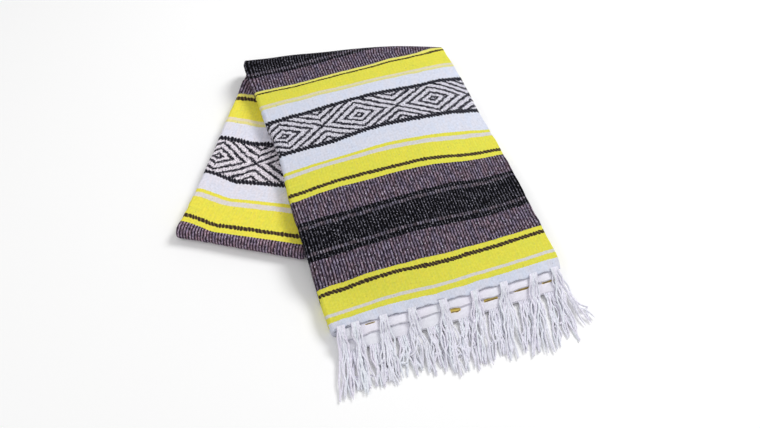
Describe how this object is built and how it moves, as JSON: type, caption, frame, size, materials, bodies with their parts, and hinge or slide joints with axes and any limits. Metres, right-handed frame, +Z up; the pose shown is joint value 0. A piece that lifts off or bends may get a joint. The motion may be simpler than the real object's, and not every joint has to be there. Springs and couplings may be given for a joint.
{
  "type": "mexican blanket",
  "caption": "Striped woven blanket folded into a thick strip and doubled back on itself, with knotted warp fringe spread in front of its hems.",
  "frame": {"origin": "bottom centre of the blanket's box, on the surface it lies on", "axes": "+Z up, +Y from the fringed hems towards the top fold, +X to the right as seen from the fringe"},
  "size_m": [0.5542, 0.5942, 0.047],
  "materials": {
    "striped_cloth": "matt, handwoven, with yellow, white, black and marled stripes across the strip",
    "inner_cloth": "matt, handwoven, the edges of the folded layers",
    "white_hem": "matt, handwoven, white",
    "fringe_yarn": "matt, twisted cotton yarn"
  },
  "bodies": {
    "root": {"upper_leg": "striped_cloth", "rear_leg": "striped_cloth", "inner_layers": "inner_cloth", "hem_second": "white_hem", "hem_third": "white_hem", "fringe_top": "fringe_yarn", "fringe_second": "fringe_yarn"}
  },
  "joints": []
}
